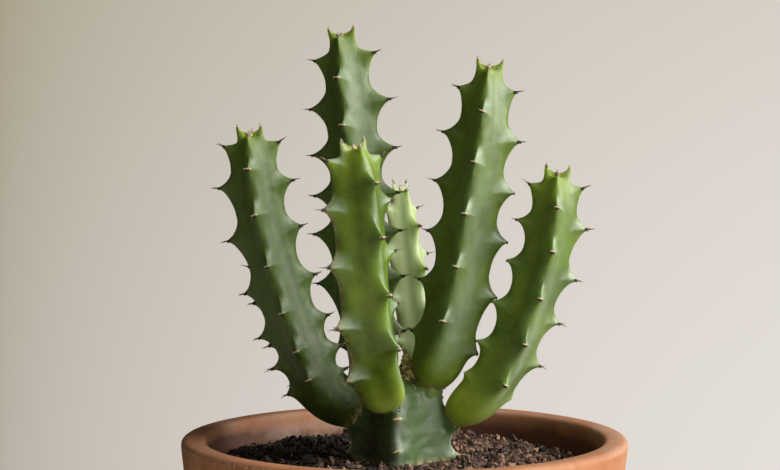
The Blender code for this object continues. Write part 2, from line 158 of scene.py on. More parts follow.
def unit(vectors):
    return vectors / np.linalg.norm(vectors, axis=-1, keepdims=True)


def swing(a, b, turn):
    """The way from a toward b by an angle."""
    return a * cos(turn) + b * sin(turn)


def relief(points, *layers):
    """Smooth lumps at points. A layer has a size, a seed, octaves and a height."""
    total = 0
    for size, seed, octaves, height in layers:
        shift = Vector((seed * 13.7, seed * 7.3, seed * 3.1))
        lumps = [noise.fractal(Vector(p) / size + shift, 0.6, 2.0, octaves) for p in points]
        total = total + np.array(lumps) * height
    return total


class Skin:
    """Collects points, faces, their materials and named values of points, and makes one mesh of them. What
    the values mean is told with each material."""

    def __init__(self):
        self.points, self.faces, self.materials = [], [], []
        self.values = {name: [] for name in ("bloom", "young", "cork", "tone")}
        self.count = 0

    def add(self, points, faces, material=0, **values):
        points = np.asarray(points, float).reshape(-1, 3)
        self.points.append(points)
        self.faces += [tuple(int(i) + self.count for i in face) for face in faces]
        self.materials += [material] * len(faces)
        for name, parts in self.values.items():
            parts.append(np.broadcast_to(values.get(name, 0.0), len(points)))
        self.count += len(points)

    def object(self, name, materials):
        mesh = bpy.data.meshes.new(name)
        mesh.from_pydata(np.concatenate(self.points) * MM, [], self.faces)
        for material in materials:
            mesh.materials.append(material)
        mesh.polygons.foreach_set("material_index", self.materials)
        set_values(mesh, {name: np.concatenate(parts) for name, parts in self.values.items()})
        mesh.shade_smooth()
        bm = bmesh.new()
        bm.from_mesh(mesh)
        bmesh.ops.recalc_face_normals(bm, faces=bm.faces)
        bm.to_mesh(mesh)
        bm.free()
        return add_object(name, mesh)


def add_object(name, data):
    made = bpy.data.objects.new(name, data)
    bpy.context.scene.collection.objects.link(made)
    return made


def set_values(mesh, values):
    for name, value in values.items():
        layer = mesh.attributes.get(name) or mesh.attributes.new(name, "FLOAT", "POINT")
        layer.data.foreach_set("value", value.astype(np.float32))


def turns(count):
    return np.arange(count) * TURN / count


def circle(count, side=(1, 0, 0), up=(0, 1, 0)):
    return np.outer(np.cos(turns(count)), side) + np.outer(np.sin(turns(count)), up)


def grid_faces(rows, columns):
    """Quads over a grid of points whose columns close into rings."""
    i, j = np.meshgrid(np.arange(rows - 1) * columns, np.arange(columns), indexing="ij")
    k = (j + 1) % columns
    return np.stack((i + j, i + k, i + columns + k, i + columns + j), -1).reshape(-1, 4)


def tube(rings, tip=None, base=None):
    """Points and faces of a tube whose last ring closes on the tip and the first on the base, or each on
    one flat face."""
    columns = len(rings[0])
    faces = [tuple(face) for face in grid_faces(len(rings), columns)]
    points = np.reshape(rings, (-1, 3))
    last = len(points) - columns
    if tip is None:
        faces.append(tuple(range(last, last + columns)))
    else:
        faces += [(last + j, last + (j + 1) % columns, len(points)) for j in range(columns)]
        points = np.vstack((points, tip))
    if base is None:
        faces.append(tuple(range(columns))[::-1])
    else:
        faces += [(len(points), (j + 1) % columns, j) for j in range(columns)]
        points = np.vstack((points, base))
    return points, faces


# Stems

class Axis:
    """A stem's middle line, measured down from its tip."""

    SAMPLES = 48
    OVERRUN = 6

    def __init__(self, points):
        points = np.array(points, float)
        ends = np.vstack((points[0] * 2 - points[1], points, points[-1] * 2 - points[-2]))
        t = np.linspace(0, 1, self.SAMPLES, endpoint=False)[:, None]
        pieces = []
        for before, start, end, after in zip(ends, ends[1:], ends[2:], ends[3:]):
            span = np.linalg.norm(end - start)
            blend = t * t * (3 - 2 * t)
            pieces.append(
                start * (1 - blend) + end * blend
                + self.slope(before, start, end) * span * (t ** 3 - 2 * t * t + t)
                + self.slope(start, end, after) * span * (t ** 3 - t * t)
            )
        line = np.vstack((*pieces, points[-1:]))
        place = np.append(0, np.cumsum(np.linalg.norm(np.diff(line, axis=0), axis=1)))
        self.length = place[-1]
        onward = line[0] - line[7]
        self.line = np.vstack((line[::-1], line[0] + onward / np.linalg.norm(onward) * self.OVERRUN))
        self.place = np.append(self.length - place[::-1], self.length + self.OVERRUN)

    @staticmethod
    def slope(before, point, after):
        a, b = np.linalg.norm(point - before), np.linalg.norm(after - point)
        return ((point - before) / a * b + (after - point) / b * a) / (a + b)

    def at(self, below):
        return np.stack([np.interp(below, self.place, self.line[:, i]) for i in range(3)], -1)

    def axes(self, below):
        """The stem's direction, and the ways to the photograph's camera and to its right, square to it."""
        below = np.asarray(below, float)
        along = unit(self.at(below - 1.5) - self.at(below + 1.5))
        front = np.array((0.0, -1.0, 0.0))
        front = unit(front - along * (along @ front)[..., None])
        return along, front, np.cross(along, front)


def stem_axes(axis, stem, below):
    """The stem's direction, and the ways its front rib and its right rib look."""
    along, front, right = axis.axes(below)
    turn = np.radians(stem.facing + stem.twist * np.asarray(below, float))[..., None]
    return along, front * np.cos(turn) + right * np.sin(turn), right * np.cos(turn) - front * np.sin(turn)


def stem_radii(stem, axis, below):
    """Reach of a tooth, radius in the hollows between teeth and radius in the middle of a face."""
    above = axis.length - below
    reach = stem.reach * (1 - np.exp(-(below + 0.35 * stem.crown) / stem.crown))
    reach = reach * (1 - stem.taper * np.maximum(1 - above / 26, 0) ** 1.5)
    valley = reach * (stem.waist + 0.07 * np.minimum(below / 80, 1))
    fade = clamp((above - 5) / 14)
    reach = valley + (reach - valley) * fade * fade * (3 - 2 * fade)
    plump = clamp(bell(above, -4, 20) + 0.4 * np.exp(-below / 3))
    face = valley * (0.75 + 0.02 * min(stem.tone, 1) + 0.13 * plump)
    low = clamp(1 - (above + stem.foot) / (FOOT_LENGTH + stem.foot))
    rounded = (1 - low ** 2.3) ** (1 / 2.1)
    return reach * rounded, valley * rounded, face * rounded


def crown_lift(below):
    """How far the youngest teeth rise past their depth."""
    return 1.7 * np.exp(-below / 4)


def rib_levels(stem):
    """Depths of the teeth of each rib: front, right, back, left."""
    front = [(a + b) / 2 for a, b in zip(stem.levels, stem.levels[1:])]
    front[0] = stem.levels[1] * 0.22
    return front, list(stem.levels), front, list(stem.levels)


def tooth_strengths(stem, random):
    """One size for each tooth, near 1. The youngest front and back teeth are only buds."""
    strengths = [random.uniform(0.93, 1.05, len(levels)) for levels in rib_levels(stem)]
    strengths[0][0] = strengths[2][0] = 0.55
    return strengths


def tooth_shape(below, offset, level, before, after, swell):
    """How far one tooth swells the stem, from 0 to 1, at depths and at angles from its rib. Above the point
    a flank widens and rises, and under it the skin drops back and leaves only a narrow ridge."""
    down = below + 0 * offset - level - TOOTH_SAG * offset
    upper = clamp(1 + down / (0.38 * before))
    lower = clamp(1 - down / (0.61 * after))
    ramp = np.where(down <= 0, upper ** 1.35, lower ** 2.2)
    edge = np.where(down <= 0, upper ** 2.1, lower ** 2.2)
    wide = swell * (0.4 + 0.6 * upper)
    narrow = RIDGE_HALF_ANGLE + (swell - RIDGE_HALF_ANGLE) * bell(down, 0, 3.4)
    width = np.where(down <= 0, wide, narrow * (0.4 + 0.6 * lower)) + 0.5
    eased = np.sqrt(offset ** 2 + 0.5 ** 2) - 0.5
    swelling = np.maximum(1 - eased / width, 0) ** 1.3
    wedge = np.maximum(1 - eased / WEDGE_HALF_ANGLE, 0) ** 1.15
    return edge * WEDGE_SHARE * wedge + ramp * (1 - WEDGE_SHARE) * swelling


def tooth_wax_and_highlight(stem, rib, below, signed, level):
    """A painted highlight, laid on as a pale waxy coat, on a tooth's upper flank, from 0 to 1: full on the
    side that the window lights, and a tenth of it on the other side.
    """
    fresh = min(stem.tone, 1)
    most = (0.4 + 0.6 * fresh, 0.15 + 0.65 * fresh, 0.3, stem.bloom)[rib]
    offset = np.abs(signed)
    rise = level - below + TOOTH_SAG * offset
    # painted highlight: full strength on the lit side of the rib, a tenth on the other
    lit = np.where(signed * (-1 if rib == 1 else 1) > 0, most, 0.1 * most)
    return lit * clamp(rise / 0.5 + 0.5) * clamp(1 - rise / 4.6) ** 0.8 * clamp(1 - (offset / 34) ** 2)


def strip_painted_sheen(stem, axis, below, signed):
    """A painted sheen, laid on as a pale waxy coat, at the lit side of the front rib: narrow, or broad and
    stronger lower down.
    """
    most = min(stem.tone, 1) * clamp((axis.length - below - 3) / 14)
    if stem.bloom == 1:
        return 0.5 * most * bell(signed, 11, 9)
    return 0.4 * most * (0.4 + 1.2 * np.clip(below / 60, 0, 1.2)) * bell(signed, 30, 32)


def angle_list():
    """Angles of a ring's points, close by the ribs."""
    angles = []
    for rib in range(RIBS):
        angles += [rib * 90 + a for a in RIB_OFFSETS]
        angles += [rib * 90 + 90 - a for a in (44.9, *RIB_OFFSETS[:0:-1])]
    return np.array(sorted(angles), float)


def stem_rings(axis, stem):
    """Depths of a stem's rings, close at the crown, by the teeth and round the foot."""
    end = axis.length - FOOT_LENGTH
    foot = end + (FOOT_LENGTH + stem.foot * 0.98) * np.sin(np.linspace(0, pi / 2, 24))
    teeth = [level + step for level in set(sum(rib_levels(stem), [])) for step in TOOTH_STEPS]
    plain = np.arange(CROWN_DEPTH, end, RING_STEP)
    plain = [place for place in plain if min(abs(place - np.array(teeth))) > 0.35]
    teeth = [place for place in teeth if CROWN_DEPTH < place < end]
    rings = np.unique(np.round(np.concatenate((np.linspace(0, CROWN_DEPTH, 26), teeth, plain, foot)), 3))
    return rings[np.append(True, np.diff(rings) > 0.06)]


def stem_surface(stem, axis, below, angles, strengths):
    """Radius of the skin, share of tooth in it, lift of the youngest teeth and share of waxy coat and painted
    highlight on a grid.
    """
    reach, valley, face = (radius[:, None] for radius in stem_radii(stem, axis, below))
    below = below[:, None]
    share = np.zeros((len(below), len(angles)))
    nib, sprout, wax_and_sheen = share, share, share
    for rib, levels in enumerate(rib_levels(stem)):
        signed = ((angles - rib * 90 + 180) % 360 - 180)[None, :]
        offset = np.abs(signed)
        gaps = [FIRST_GAP, *np.diff(levels), LAST_GAP]
        for level, before, after, strength in zip(levels, gaps, gaps[1:], strengths[rib]):
            tooth = tooth_shape(below, offset, level, before, after, stem.swell)
            share = np.maximum(share, tooth * strength)
            point = bell(below, level, 0.85) * bell(offset, 0, 5.5) * strength
            point = point * (axis.length - level > LOWEST_TOOTH)
            if level < BUD_DEPTH:
                sprout = np.maximum(sprout, point)
            else:
                nib = np.maximum(nib, point)
            wax_and_sheen = np.maximum(wax_and_sheen, tooth_wax_and_highlight(stem, rib, below, signed, level))
        if rib == 0:
            wax_and_sheen = np.maximum(wax_and_sheen, strip_painted_sheen(stem, axis, below, signed))
    ridge = rib_crest(angles) ** (1.3 - 0.25 * min(stem.tone, 1))
    body = face + (valley - face) * ridge
    return body + (reach - valley) * share + NIB * nib + SPROUT * sprout, share, sprout, wax_and_sheen


def rib_crest(angles):
    """1 on a rib and 0 in the middle of a face."""
    off = np.abs((angles + 45) % 90 - 45)[None, :]
    return 0.5 + 0.5 * np.cos(pi * off / 45)


def crown_rings(top, axis):
    """The middle of the crown, and rings from it out to the top ring that dip between the youngest teeth."""
    along = axis.axes(0.0)[0]
    centre = RIM + axis.at(0) + along * 0.1
    rings = [centre + (top - centre) * share - along * (share * (1 - share) * 3.0) for share in CROWN_SHARES]
    return centre, rings


def make_stem(stem, materials):
    random = np.random.default_rng(stem.seed)
    axis = Axis(stem.route)
    angles = angle_list()
    below = stem_rings(axis, stem)
    strengths = tooth_strengths(stem, random)
    radius, share, sprout, wax_and_sheen = stem_surface(stem, axis, below, angles, strengths)
    along, ahead, right = (vectors[:, None, :] for vectors in stem_axes(axis, stem, below))
    turn = np.radians(angles)[None, :, None]
    out = ahead * np.cos(turn) + right * np.sin(turn)
    dip = CROWN_DIP * np.exp(-below / 2)[:, None] * (1 - share)
    lift = (crown_lift(below)[:, None] * share + 0.5 * sprout - dip)[..., None]
    points = RIM + axis.at(below)[:, None, :] + out * radius[..., None] + along * lift
    ripple = relief(points.reshape(-1, 3), (11, stem.seed, 2, 0.13), (2.6, stem.seed + 0.5, 2, 0.03))
    points = points + out * (ripple.reshape(share.shape) * clamp((radius - 2.5) / 4))[..., None]

    height = (axis.length - below)[:, None]
    depth = below[:, None] + 0 * share
    pale_tip = 0.33 + 0.5 * min(stem.tone, 1) ** 3
    young = pale_tip * np.exp(-depth / 7) + stem.base * bell(height, 2, 11 if stem.base > 0 else 16)
    young += 0.05 * (1 - min(stem.tone, 1)) * clamp(height / 45)
    scar = stem.scar * clamp(depth / 12 - 0.5) * bell((angles + 90 + 180) % 360 - 180, 0, 5)
    cork = np.maximum.reduce((0.75 * bell(height, -stem.foot, 2.2) + 0 * share, sprout ** 2 * 0.2, scar))
    centre, crown = crown_rings(points[0], axis)
    points, faces = tube([*crown, *points], axis.at(axis.length + stem.foot) + RIM, centre)
    inner = len(crown) * len(angles)
    # The crown's quads fold along their other diagonal
    faces[:inner] = [face[1:] + face[:1] for face in faces[:inner]]

    def with_ends(values, fill):
        """Values with one fill added for the crown and the end points."""
        return np.pad(values.reshape(-1), (inner, 2), constant_values=fill)

    skin = Skin()
    skin.add(points, faces, bloom=with_ends(wax_and_sheen, 0), young=with_ends(young, 1), cork=with_ends(cork, 0),
             tone=stem.tone)
    add_stem_spines(skin, stem, axis, strengths, random)
    made = skin.object(stem.node.replace("stem", "grown_stem"), materials)
    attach(made, "root")
    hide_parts(stem.node)
    return made


def is_clear(point, stem):
    """Whether a point keeps away from every other stem."""
    for other in STEMS:
        axis = Axis(other.route)
        below = np.arange(0, axis.length, 3)
        gaps = np.linalg.norm(axis.at(below) - point, axis=1) - stem_radii(other, axis, below)[0]
        if other is not stem and gaps.min() < SPINE_CLEARANCE:
            return False
    return True


def needle(skin, root, direction, length, radius, bend, material, tone, bow=0.0, sides=7):
    """A tapered, slightly bent spine with a rounded foot."""
    direction = unit(np.array(direction, float))
    side = unit(np.cross(direction, bend if abs(direction @ bend) < 0.95 else (1.0, 0, 0)))
    up = np.cross(side, direction)
    stations = ((-1.2, 1.4), (-0.1, 1.25), (0.35, 0.9), (0.25 * length, 0.65), (0.5 * length, 0.45),
                (0.8 * length, 0.24), (length, 0.07))
    way = [max(place, 0) / length for place, _ in stations]
    rings = [root + direction * place + up * bow * done ** 2 + radius * size * circle(sides, side, up)
             for (place, size), done in zip(stations, way)]
    tip = root + direction * (length + 0.12) + up * bow
    skin.add(*tube(rings, tip), material, young=np.append(np.repeat(way, sides), 1.0), tone=tone)


def pad(skin, place, out, along, size, material, tone):
    """The small horny shield that a pair of spines grows from."""
    outline = circle(10, np.cross(along, out) * 1.15, along * 0.65)
    rings = [place + out * height * size + size * share * outline
             for height, share in ((-0.5, 1.0), (0.05, 1.0), (0.32, 0.8), (0.45, 0.4))]
    skin.add(*tube(rings, place + out * 0.5 * size), material, tone=tone)


def add_stem_spines(skin, stem, axis, strengths, random):
    along, ahead, right = stem_axes(axis, stem, 0.0)
    root = RIM + axis.at(0) - along * 0.1
    for _ in range(6):
        turn, lean = random.uniform(0, TURN), random.uniform(0.25, 0.9)
        direction = swing(along, swing(ahead, right, turn), lean)
        needle(skin, root, direction, random.uniform(0.8, 1.4), 0.24, ahead, SPINE, 0.85, sides=5)
    for rib, levels in enumerate(rib_levels(stem)):
        for level, strength in zip(levels, strengths[rib]):
            if axis.length - level > LOWEST_TOOTH:
                add_spine_pair(skin, stem, axis, rib, level, strength, random)


def add_spine_pair(skin, stem, axis, rib, level, strength, random):
    """The spines of one tooth on their pad, or the four short ones of a bud."""
    draw = random.uniform
    along, ahead, right = stem_axes(axis, stem, level)
    reach, valley, _ = stem_radii(stem, axis, level)
    out = swing(ahead, right, radians(rib * 90))
    young = level < BUD_DEPTH
    bud = young and not rib % 2
    front = rib == 0
    reach = valley + (reach - valley) * strength + (0.5 if young else NIB) * strength - 0.25
    rise = crown_lift(level) * strength + (SPROUT * strength if young else 0)
    tip = axis.at(level) + out * reach + along * rise
    if not young or bud:
        # front pads are bigger: their dark brown is partly the pad and partly painted shade under the tooth's
        # point
        size = 0.68 if front else 0.5
        place = RIM + tip - along * 0.7 * size - out * 0.1
        pad(skin, place, out * 0.95 - along * 0.3, along, size, SPINE, 0.3 * bud)
    # front spines paler: painted light, where the side spines stay dark
    pale = 0.8 if bud else 0.6 if young else 0.85 * front
    longest = SPINE_LENGTH * (0.4 if bud else 0.13 if young else 0.6 if front else 1)
    radius = 0.15 if young else 0.2 if front else 0.29
    lift = radians(4 + 60 * exp(-level / 4))
    for side in (-1, 1, -0.3, 0.4) if bud else (-1, 1):
        spread = radians((FRONT_SPREAD if front else SPINE_SPREAD) + draw(-6, 6)) * side
        lean = lift + radians(draw(-4, 4))
        direction = swing(swing(out, np.cross(along, out), spread), along, lean)
        length = longest * draw(0.78, 1.04)
        if not is_clear(tip + direction * length, stem):
            length *= 0.6
            if not is_clear(tip + direction * length, stem):
                continue
        needle(skin, RIM + tip, direction, length, radius, along, SPINE, pale, draw(-0.25, 0.3))


# Materials

COLOUR_RESULT = 2


def new_material(name):
    return Tree(bpy.data.materials.new(name))


class Tree:
    """Short calls that add nodes to a material or to the world. Most return the socket of their result."""

    def __init__(self, owner):
        owner.use_nodes = True
        self.owner = owner
        self.tree = owner.node_tree

    def fill(self, node, inputs):
        """Gives inputs of a node a number, a colour or a socket to link."""
        for name, value in inputs.items():
            socket = node.inputs[name]
            if hasattr(value, "is_linked"):
                self.tree.links.new(value, socket)
            elif value is not None:
                socket.default_value = (*value, 1.0) if socket.type == "RGBA" else value

    def node(self, kind, result, inputs, **settings):
        made = self.tree.nodes.new("ShaderNode" + kind)
        for name, value in settings.items():
            setattr(made, name, value)
        self.fill(made, inputs)
        return made.outputs[result]

    def value(self, name):
        return self.node("Attribute", "Fac", {}, attribute_name=name)

    def noise(self, scale, detail, roughness=0.55, stretch=None):
        where = self.node("TexCoord", "Object", {})
        if stretch:
            where = self.node("Mapping", "Vector", {"Vector": where, "Scale": stretch})
        inputs = {"Vector": where, "Scale": scale, "Detail": detail, "Roughness": roughness}
        return self.node("TexNoise", "Fac", inputs)

    def cells(self, scale):
        where = self.node("TexCoord", "Object", {})
        return self.node("TexVoronoi", "Distance", {"Vector": where, "Scale": scale})

    def span(self, value, low, high, to_low=0.0, to_high=1.0):
        """Stretches low to high into another range and holds what lies outside at its ends."""
        inputs = {"Value": value, "From Min": low, "From Max": high, "To Min": to_low, "To Max": to_high}
        return self.node("MapRange", "Result", inputs, clamp=True)

    def math(self, operation, a, b=0.0):
        return self.node("Math", "Value", {0: a, 1: b}, operation=operation)

    def times(self, a, b):
        return self.math("MULTIPLY", a, b)

    def mix(self, share, a, b):
        """From a to b, with the share held between 0 and 1."""
        return self.node("Mix", COLOUR_RESULT, {"Factor": share, "A": a, "B": b}, data_type="RGBA")

    def bump(self, height, distance, strength, under=None):
        inputs = {"Height": height, "Distance": distance, "Strength": strength, "Normal": under}
        return self.node("Bump", "Normal", inputs)

    def surface(self, body, roughness, normal, **inputs):
        """Fills the shader of a material and returns the material."""
        inputs.update({"Base Color": body, "Roughness": roughness, "Normal": normal})
        self.fill(self.tree.nodes["Principled BSDF"], inputs)
        return self.owner


def skin_material(name, deep, fresh, cool, roughness, coat, coat_roughness, mottle):
    """Waxy skin, mottled, from cool to fresh by tone; on the trunk the fresh colour is near black, painted
    shade that tone lays on its left face. tone above 1 pales it, partly for painted light. young makes it
    yellow, partly for painted light on the feet, and below 0 dark with painted shade. bloom lays a pale waxy
    coat and painted highlights on it, and cork corky scars."""
    t = new_material(name)
    tone, young = t.value("tone"), t.value("young")
    body = t.mix(t.span(t.noise(70, 3), 0.35, 0.65, 0.15, 1.0), deep, t.mix(tone, cool, fresh))
    # yellow for young growth at the tip, and at the feet partly painted light
    body = t.mix(t.times(young, 0.75), body, (0.31, 0.40, 0.042))
    # painted shade: where young is below 0, at the foot of stem_left, the skin goes near black
    body = t.mix(t.times(young, -0.9), body, (0.014, 0.013, 0.006))
    body = t.mix(t.span(t.noise(420, 5, 0.6), 0.42, 0.62, 0.0, 0.2 * mottle), body, (0.15, 0.24, 0.02))
    body = t.mix(t.span(t.noise(150, 6, 0.7), 0.5, 0.72, 0.0, 0.3 * mottle), body, (0.045, 0.075, 0.012))
    # the pale waxy coat, which is also painted highlight on lit tooth flanks, beside the front rib and on the
    # trunk's crests
    wax_and_sheen = t.times(t.value("bloom"), t.span(t.noise(260, 3), 0.3, 0.6, 0.35, 0.75))
    body = t.mix(wax_and_sheen, body, (0.42, 0.50, 0.42))
    # paler for tone above 1, on the back stem partly painted light
    body = t.mix(t.math("SUBTRACT", tone, 1.0), body, (0.46, 0.55, 0.28))
    specks = t.times(t.span(t.cells(700), 0.12, 0.2, 0.38, 0.0), t.span(t.noise(160, 2), 0.46, 0.58))
    body = t.mix(specks, body, (0.34, 0.38, 0.18))
    cork = t.times(t.value("cork"), t.span(t.noise(700, 3), 0.3, 0.6, 0.5, 1.2))
    bark = t.mix(t.span(t.noise(520, 3), 0.42, 0.6), (0.13, 0.075, 0.04), (0.46, 0.38, 0.20))
    worn = t.math("ABSOLUTE", young)
    grain = t.span(t.noise(300, 4), 0.3, 0.7, roughness - 0.05, roughness + 0.08)
    fine = t.bump(t.noise(1600, 3), 0.00006, 0.5)
    return t.surface(
        t.mix(cork, body, bark),
        t.math("ADD", grain, t.times(worn, 0.3)),
        t.bump(t.noise(260, 3), 0.0002, 0.3, fine),
        **{"Subsurface Weight": 0.45, "Subsurface Radius": (0.75, 1.0, 0.10), "Subsurface Scale": 0.006,
           "Coat Weight": t.span(worn, 0.02, 0.3, coat, 0.1 * coat), "Coat Roughness": coat_roughness},
    )


def spine_material():
    """Horn, dark at its foot and its point and straw-coloured by tone. young is the way along a spine."""
    t = new_material("spine_brown")
    along = t.math("ADD", t.value("young"), t.times(t.noise(900, 3), 0.25))
    body = t.mix(t.span(along, 0.1, 0.45), (0.035, 0.02, 0.012), (0.23, 0.14, 0.085))
    body = t.mix(t.span(along, 0.75, 1.15), body, (0.06, 0.035, 0.025))
    return t.surface(
        t.mix(t.value("tone"), body, (0.66, 0.54, 0.34)),
        t.span(t.noise(1200, 2), 0.3, 0.7, 0.55, 0.75),
        t.bump(t.noise(3000, 2), 0.00004, 0.6),
    )


def terracotta_material():
    """Fired clay, mottled. cork makes it wet and dark, and lays painted shade on the inner walls;
    bloom lays pale salt on it and a painted highlight on the lit lip; young lays pale grit.
    """
    t = new_material("terracotta")
    body = t.mix(t.span(t.noise(22, 5), 0.35, 0.65), (0.385, 0.142, 0.056), (0.505, 0.240, 0.120))
    body = t.mix(t.span(t.noise(140, 6, 0.65), 0.42, 0.7, 0.0, 0.7), body, (0.33, 0.118, 0.050))
    body = t.mix(t.span(t.noise(9, 4), 0.55, 0.75, 0.0, 0.35), body, (0.70, 0.45, 0.30))
    grains = t.times(t.span(t.cells(1400), 0.05, 0.16, 0.5, 0.0), t.span(t.noise(300, 2), 0.45, 0.6))
    body = t.mix(grains, body, (0.72, 0.48, 0.34))
    dark = t.times(t.span(t.cells(620), 0.03, 0.09, 0.7, 0.0), t.span(t.noise(120, 2), 0.55, 0.65))
    body = t.mix(dark, body, (0.16, 0.07, 0.04))
    damp_and_shade = t.times(t.value("cork"), t.span(t.noise(80, 5), 0.3, 0.65, 0.5, 1.0))
    body = t.mix(damp_and_shade, body, (0.115, 0.042, 0.022))
    salts_and_highlight = t.times(t.value("bloom"), t.span(t.noise(75, 6, 0.7), 0.38, 0.6, 0.0, 0.75))
    body = t.mix(salts_and_highlight, body, (0.44, 0.31, 0.235))
    grit = t.times(t.value("young"), t.span(t.noise(900, 4, 0.65), 0.50, 0.62, 0.0, 0.8))
    pits = t.bump(t.noise(1100, 6, 0.65), 0.00022, 0.8)
    return t.surface(
        t.mix(grit, body, (0.66, 0.54, 0.44)),
        t.span(t.noise(200, 4), 0.3, 0.7, 0.72, 0.92),
        t.bump(t.noise(60, 3, 0.5, (0.4, 0.4, 7.0)), 0.0005, 0.35, pits),
    )


def soil_material():
    """Potting soil. tone makes it brown, paler toward the lit right for painted light; bloom makes it dry
    and pale; cork lays painted shade on the left.
    """
    t = new_material("potting_soil")
    body = t.mix(t.span(t.noise(210, 5), 0.35, 0.65), (0.005, 0.004, 0.003), (0.024, 0.014, 0.009))
    body = t.mix(t.value("tone"), body, (0.44, 0.245, 0.165))
    body = t.mix(t.value("bloom"), body, (0.36, 0.27, 0.19))
    return t.surface(
        t.mix(t.value("cork"), body, (0.002, 0.0015, 0.001)),
        t.span(t.noise(500, 3), 0.3, 0.7, 0.75, 1.0),
        t.bump(t.noise(900, 6, 0.7), 0.0005, 0.9),
    )


def cushion_material():
    """Dry tissue on the trunk: cream to yellow by young, and dark where tone is low."""
    t = new_material("dry_cushion")
    body = t.mix(t.span(t.noise(600, 4), 0.35, 0.65), (0.30, 0.22, 0.10), (0.72, 0.62, 0.40))
    body = t.mix(t.span(t.value("young"), 0.1, 0.9, 0.2, 0.95), body, (0.50, 0.46, 0.12))
    return t.surface(
        t.mix(t.value("tone"), (0.055, 0.04, 0.015), body),
        t.span(t.noise(900, 2), 0.3, 0.7, 0.6, 0.9),
        t.bump(t.noise(2200, 3), 0.0001, 0.8),
    )


# Pot. Bearings go round it in degrees from its right side, with the camera at -90.

RIM_RADIUS, FOOT_RADIUS = 69.9, 57.0
WALL, FLOOR = 7.7, 8.0
LIP_RISE, LIP_LIFT = 2.6, 0.8
SHOULDER = POT_HEIGHT + LIP_LIFT - LIP_RISE
DRAIN_RADIUS = 7.0
SOIL_LEVEL = POT_HEIGHT - 7.8
POT_COLUMNS = 224


def pot_outside(height):
    return FOOT_RADIUS + (RIM_RADIUS - FOOT_RADIUS) * height / POT_HEIGHT


def pot_profile():
    """The turned outline as (radius, height), from the outer lip down, across the foot and up the inside."""
    outer, inner = pot_outside(SHOULDER), pot_outside(SHOULDER) - WALL
    middle, half = (outer + inner) / 2, (outer - inner) / 2
    lip = [(middle + half * cos(a) * abs(cos(a)) ** -0.4, SHOULDER + LIP_RISE * sin(a) ** 0.65)
           for a in np.radians(np.linspace(175, 5, 22))]
    outside = [(pot_outside(z), z) for z in SHOULDER - (SHOULDER - 1.4) * np.linspace(0, 1, 44) ** 1.5]
    foot = [(FOOT_RADIUS - 0.4, 0.5), (FOOT_RADIUS - 1.4, 0.0), (45.0, 0.0), (25.0, 0.0),
            (DRAIN_RADIUS + 1, 0.0), (DRAIN_RADIUS, 0.8), (DRAIN_RADIUS, FLOOR - 0.8),
            (DRAIN_RADIUS + 1, FLOOR), (30.0, FLOOR)]
    inside = [(pot_outside(z) - WALL, z) for z in np.linspace(FLOOR + 3, SHOULDER, 36)]
    return lip + outside + foot + inside


def pot_values(points):
    """Where the pot is wet, salty and gritty, and where shade and a highlight are painted on it."""
    x, y, height = points.T
    radius = np.hypot(x, y)
    around = np.degrees(np.arctan2(y, x))
    inner = radius < pot_outside(height) - WALL * 0.8
    back_left = bell(around, 116, 24)
    # the inside below the rim is darker, and most just above the soil, where it is wet
    damp_and_shade = inner * (0.5 * clamp((POT_HEIGHT - 1.5 - height) / 3)
                    + 1.2 * np.exp(-np.maximum(height - SOIL_LEVEL - 0.5, 0) / 1.8))
    # painted shadow of the plants on the left inner wall, with wetness, and less on the chalky back wall
    damp_and_shade *= 1 + 1.9 * bell(np.abs(around), 168, 30) - 0.4 * back_left
    # painted shade on the right inner wall, under the rim and away from the window
    damp_and_shade += 0.42 * inner * bell(around, 38, 28) * clamp((POT_HEIGHT - 0.6 - height) / 1.2)
    inner_lip = bell(radius, 63.0, 0.9) * (height > POT_HEIGHT - 2.4)
    salts_and_highlight = clamp(inner * back_left * clamp((POT_HEIGHT - 2 - height) / 3) + 0.9 * inner_lip)
    # pale salt on the left of the lip top, and a painted highlight on its lit right side
    lip_salts_and_highlight = 0.55 * bell(np.abs(around), 172, 26) + 0.6 * bell(around, 0, 38)
    salts_and_highlight = np.maximum(salts_and_highlight, lip_salts_and_highlight * (height > POT_HEIGHT - 1))
    grit = 0.9 * bell(height - SHOULDER, 1.1, 0.8) * (radius > 67) * (0.08 + 0.92 * bell(around, -135, 42))
    return {"cork": damp_and_shade, "bloom": salts_and_highlight, "young": grit}


def make_pot(material):
    profile = np.array(pot_profile())
    out = circle(POT_COLUMNS)
    points = (profile[:, None, :1] * out + profile[:, None, 1:] * UP).reshape(-1, 3)
    worn = np.abs(relief(points, (26, 3.0, 3, 0.14), (5, 5.0, 2, 0.05))) * (points[:, 2] > 1)
    points = points - np.tile(out, (len(profile), 1)) * worn[:, None]
    skin = Skin()
    skin.add(points, grid_faces(len(profile) + 1, POT_COLUMNS) % len(points), **pot_values(points))
    pot = skin.object("clay_pot", [material])
    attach(pot, "root")
    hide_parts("pot")


# Soil

SOIL_BOTTOM = FLOOR + 0.3
SOIL_ROWS, SOIL_COLUMNS = 112, 300
BURIED_CRUMBS = 3000
COARSE_CRUMBS, CRUMBS = 620, 2100
CHIPS = 150
CHIP_OUTLINE = ((-1, -0.6), (-0.4, -1), (0.7, -0.8), (1, 0.5), (0.2, 1), (-0.8, 0.7))
CHIP_STATIONS = ((-0.5, 0.35), (-0.3, 0.9), (0.1, 1.0), (0.38, 0.7), (0.5, 0.25))
FIBRE_LEANS = (-0.5, -0.2, 0.05, 0.3, 0.7)
TRUNK_X, TRUNK_ROOM = -1.0, 16


